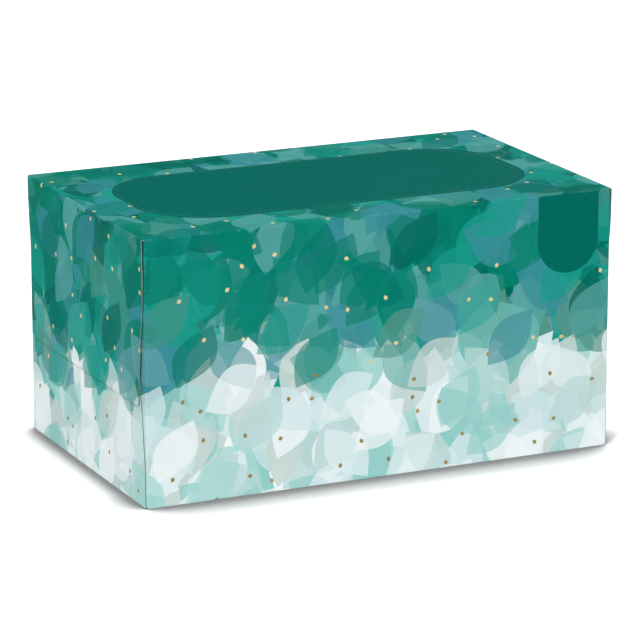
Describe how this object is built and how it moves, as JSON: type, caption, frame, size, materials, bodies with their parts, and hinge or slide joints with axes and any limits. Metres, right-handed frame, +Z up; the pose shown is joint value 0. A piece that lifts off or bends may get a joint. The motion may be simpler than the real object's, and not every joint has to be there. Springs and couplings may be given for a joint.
{
  "type": "tissue box",
  "caption": "Sealed printed paperboard carton of folded hand tissues, with glued end flaps and a perforated tear-out in its top.",
  "frame": {"origin": "middle of the carton's footprint, on the surface it stands on", "axes": "+X along the carton's length, -Y towards the front long side, +Z up"},
  "size_m": [0.238, 0.142, 0.125],
  "materials": {
    "printed_board": "satin print"
  },
  "bodies": {
    "root": {"tissue_carton": "printed_board"}
  },
  "joints": []
}
